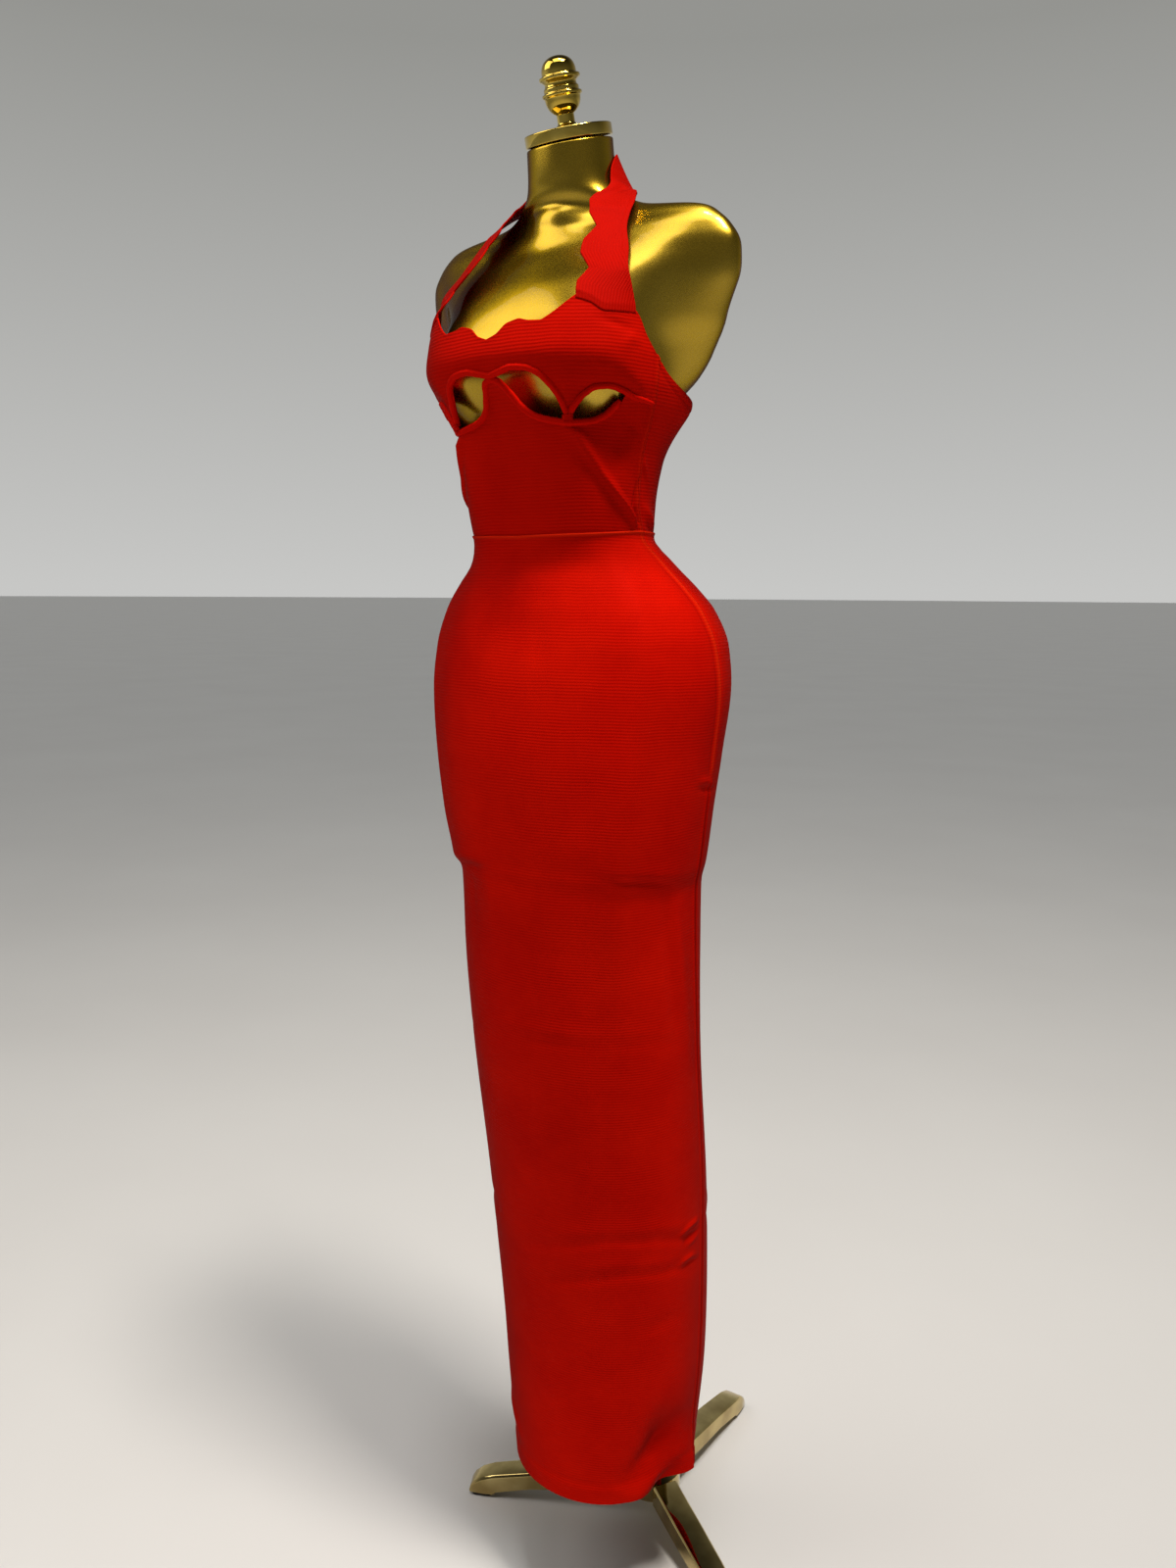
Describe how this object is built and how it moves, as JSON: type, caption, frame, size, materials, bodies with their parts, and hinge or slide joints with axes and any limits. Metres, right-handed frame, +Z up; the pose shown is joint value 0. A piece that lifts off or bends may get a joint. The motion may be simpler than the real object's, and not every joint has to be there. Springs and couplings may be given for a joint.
{
  "type": "halter bodycon dress on a limbless dress form",
  "caption": "Floor-length red halter bodycon dress with scalloped neckline and piped cutouts under the bust, worn by a gold limbless dress form on a polished footed pole stand.",
  "frame": {"origin": "on the floor, under the middle of the overall box", "axes": "+Z up; the wearer of the dress faces -Y, and the wearer's left is +X"},
  "size_m": [0.4287, 0.5612, 1.6925],
  "materials": {
    "red_knit": "satin",
    "gold_paint": "gloss",
    "gold_plate": "polished",
    "wood_board": "matte",
    "foot_rubber": "matte"
  },
  "bodies": {
    "root": {"bust_band": "red_knit", "midriff_front": "red_knit", "bodice_back": "red_knit", "strap_left": "red_knit", "strap_right": "red_knit", "skirt_front": "red_knit", "skirt_back": "red_knit", "bust_piping": "red_knit", "midriff_piping": "red_knit", "form_shell": "gold_paint", "form_board": "wood_board", "form_socket": "gold_plate", "neck_cap": "gold_plate", "finial": "gold_plate", "pole": "gold_plate", "pole_collar": "gold_plate", "base_hub": "gold_plate", "leg_back": "gold_plate", "leg_front_right": "gold_plate", "leg_front_left": "gold_plate", "foot_pad_back": "foot_rubber", "foot_pad_front_right": "foot_rubber", "foot_pad_front_left": "foot_rubber"}
  },
  "joints": []
}
